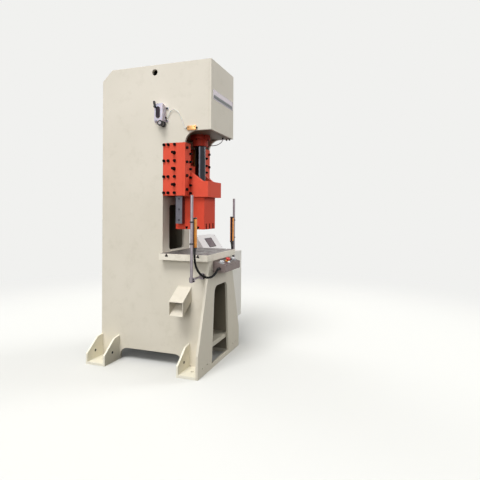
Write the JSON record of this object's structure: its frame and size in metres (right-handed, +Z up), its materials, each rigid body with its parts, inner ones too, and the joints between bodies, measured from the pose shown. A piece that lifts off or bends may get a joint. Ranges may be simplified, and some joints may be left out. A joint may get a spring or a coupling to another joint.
{
  "type": "c-frame hydraulic press",
  "caption": "Open-throat hydraulic press: welded column, guided ram over a slotted table, light guard, two-hand control box, parts chute and side cabinet.",
  "frame": {"origin": "middle of the bounding box's bottom face, on the floor", "axes": "+Z up, the machine faces -Y, and its electrical cabinet stands at +X"},
  "size_m": [1.2604, 1.1404, 2.499],
  "materials": {
    "cream_enamel": "satin enamel",
    "red_orange_enamel": "gloss enamel",
    "guide_bronze": "scraped",
    "grey_enamel": "satin enamel",
    "dark_red_enamel": "satin enamel",
    "blue_grey_enamel": "satin enamel",
    "ground_steel": "ground",
    "hard_chrome": "polished",
    "orange_lacquer": "lacquered",
    "black_cable": "matte",
    "brushed_stainless": "brushed",
    "white_powder_coat": "powder coat",
    "black_plastic": "matte",
    "lilac_plastic": "satin",
    "brass": "machined",
    "white_nylon": "translucent white",
    "silver_plastic": "satin metallic",
    "red_plastic": "gloss"
  },
  "bodies": {
    "machine_frame": {"side_plate_left": "cream_enamel", "side_plate_right": "cream_enamel", "head_front_plate": "cream_enamel", "top_plate": "cream_enamel", "cylinder_seat_plate": "cream_enamel", "throat_back_plate": "cream_enamel", "rear_plate": "cream_enamel", "rear_cover": "cream_enamel", "front_leg_plate": "cream_enamel", "leg_shelf": "cream_enamel", "foot_front_left": "cream_enamel", "foot_front_right": "cream_enamel", "foot_rear_left": "cream_enamel", "foot_rear_right": "cream_enamel", "table": "cream_enamel", "parts_chute": "cream_enamel", "guide_housing_left": "red_orange_enamel", "guide_housing_right": "red_orange_enamel", "guide_keeper_left": "red_orange_enamel", "guide_keeper_right": "red_orange_enamel", "side_gib_left": "guide_bronze", "side_gib_right": "guide_bronze", "front_gib_left": "guide_bronze", "front_gib_right": "guide_bronze", "cylinder_barrel": "grey_enamel", "cylinder_gland": "dark_red_enamel", "oil_tank": "grey_enamel", "motor_pump_unit": "blue_grey_enamel", "valve_block": "ground_steel", "raise_pipe": "ground_steel", "press_pipe": "ground_steel", "guard_post_left": "hard_chrome", "guard_post_right": "hard_chrome", "guard_arm_left": "ground_steel", "guard_arm_right": "ground_steel", "light_curtain_left": "orange_lacquer", "light_curtain_right": "orange_lacquer", "curtain_lead_left": "black_cable", "curtain_lead_right": "black_cable", "control_box": "brushed_stainless", "cabinet_body": "cream_enamel", "switchgear_plate": "ground_steel", "operator_console": "white_powder_coat", "console_screen": "black_plastic", "lubricator_body": "lilac_plastic", "oil_distributor": "brass", "oil_line": "white_nylon"},
    "ram": {"ram_body": "red_orange_enamel", "ram_head": "red_orange_enamel", "ram_rail_left": "ground_steel", "ram_rail_right": "ground_steel", "piston_rod": "hard_chrome", "piston": "ground_steel"},
    "start_button_left": {"start_button_left": "silver_plastic"},
    "start_button_right": {"start_button_right": "silver_plastic"},
    "emergency_stop": {"emergency_stop": "red_plastic"},
    "mode_selector": {"mode_selector": "black_plastic"},
    "cabinet_door": {"cabinet_door": "cream_enamel"},
    "door_latch": {"door_latch": "hard_chrome"},
    "lubricator_lever": {"lubricator_lever": "black_plastic"}
  },
  "joints": [
    {"name": "ram_stroke", "type": "slide", "parent": "machine_frame", "child": "ram", "axis": [0, 0, 1], "range_m": [-0.1, 0.25]},
    {"name": "start_left_press", "type": "slide", "parent": "machine_frame", "child": "start_button_left", "axis": [0, -0.2632, 0.9647], "range_m": [-0.005, 0], "stiffness_N_per_m": 600, "springref_m": 0.002},
    {"name": "start_right_press", "type": "slide", "parent": "machine_frame", "child": "start_button_right", "axis": [0, -0.2632, 0.9647], "range_m": [-0.005, 0], "stiffness_N_per_m": 600, "springref_m": 0.002},
    {"name": "emergency_stop_press", "type": "slide", "parent": "machine_frame", "child": "emergency_stop", "axis": [0, -0.2632, 0.9647], "range_m": [-0.005, 0]},
    {"name": "mode_selector_turn", "type": "hinge", "parent": "machine_frame", "child": "mode_selector", "pos_m": [-0.09075, -0.52215, 0.8561], "axis": [0, -0.2632, 0.9647], "range_deg": [-45, 45]},
    {"name": "cabinet_door_swing", "type": "hinge", "parent": "machine_frame", "child": "cabinet_door", "pos_m": [0.59225, -0.00415, 0.55015], "axis": [0, 0, 1], "range_deg": [0, 110]},
    {"name": "door_latch_turn", "type": "hinge", "parent": "cabinet_door", "child": "door_latch", "pos_m": [0.61225, -0.34915, 0.55015], "axis": [1, 0, 0], "range_deg": [0, 90]},
    {"name": "lubricator_lever_swing", "type": "hinge", "parent": "machine_frame", "child": "lubricator_lever", "pos_m": [-0.46605, -0.00015, 2.131], "axis": [-1, 0, 0], "range_deg": [0, 60]}
  ]
}
